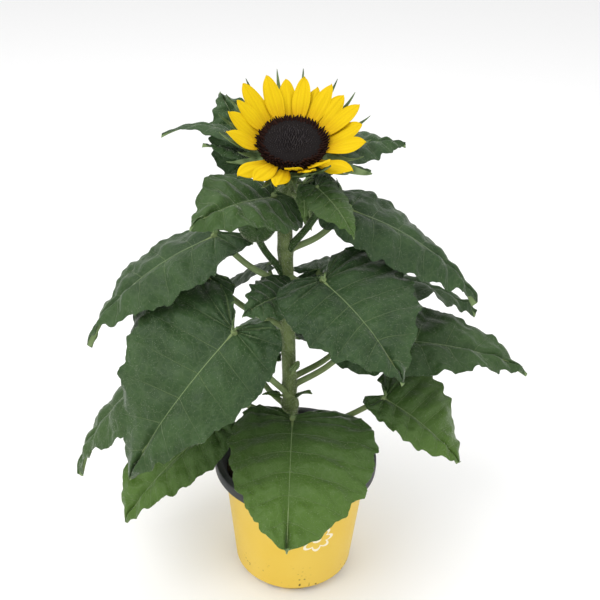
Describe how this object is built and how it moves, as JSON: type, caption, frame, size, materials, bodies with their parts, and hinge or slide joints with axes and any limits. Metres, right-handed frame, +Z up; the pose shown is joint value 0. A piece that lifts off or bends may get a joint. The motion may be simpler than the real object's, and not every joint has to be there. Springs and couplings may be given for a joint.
{
  "type": "potted sunflower",
  "caption": "Live sunflower in a nursery pot: cupped yellow flower head with a dark disc and closed buds above broad heart-shaped leaves, in a tapered pot with a wide lip.",
  "frame": {"origin": "middle of the pot's flat underside, on the pot's axis", "axes": "+Z up; the flower head and the lowest leaf face -Y, and +X is to the right as seen from the front"},
  "size_m": [0.3531, 0.2446, 0.4071],
  "materials": {
    "pot_plastic": "satin",
    "potting_soil": "matte",
    "green_stem": "matte",
    "green_leaf": "satin",
    "yellow_petal": "matte",
    "dark_florets": "matte",
    "green_calyx": "matte"
  },
  "bodies": {
    "root": {"pot": "pot_plastic", "soil": "potting_soil", "main_stem": "green_stem", "leaf_low_front": "green_leaf", "leaf_low_left": "green_leaf", "leaf_low_right": "green_leaf", "leaf_mid_left_front": "green_leaf", "leaf_far_left": "green_leaf", "leaf_mid_right": "green_leaf", "leaf_mid_right_back": "green_leaf", "leaf_mid_right_front": "green_leaf", "leaf_high_left": "green_leaf", "leaf_high_right": "green_leaf", "leaf_top_left": "green_leaf", "leaf_back_high": "green_leaf", "leaf_back": "green_leaf", "leaf_back_left": "green_leaf", "leaf_back_right": "green_leaf", "leaf_curled_left": "green_leaf", "leaf_mid_centre": "green_leaf", "leaf_small_back_left": "green_leaf", "leaf_small_right": "green_leaf", "leaf_upright_left": "green_leaf", "leaf_upper_left": "green_leaf", "leaf_upper_left_small": "green_leaf", "leaf_upper_right": "green_leaf", "leaf_upper_right_small": "green_leaf", "leaf_under_flower": "green_leaf", "shoot_low_centre": "green_leaf", "shoot_low_right": "green_leaf", "shoot_low_left": "green_leaf", "flower_disc": "dark_florets", "flower_calyx": "green_calyx", "petal_01": "yellow_petal", "petal_02": "yellow_petal", "petal_03": "yellow_petal", "petal_04": "yellow_petal", "petal_05": "yellow_petal", "petal_06": "yellow_petal", "petal_07": "yellow_petal", "petal_08": "yellow_petal", "petal_09": "yellow_petal", "petal_10": "yellow_petal", "petal_11": "yellow_petal", "petal_12": "yellow_petal", "petal_13": "yellow_petal", "petal_14": "yellow_petal", "petal_15": "yellow_petal", "petal_16": "yellow_petal", "petal_17": "yellow_petal", "petal_18": "yellow_petal", "petal_19": "yellow_petal", "petal_20": "yellow_petal", "bud_left": "green_calyx", "bud_right": "green_calyx"}
  },
  "joints": []
}
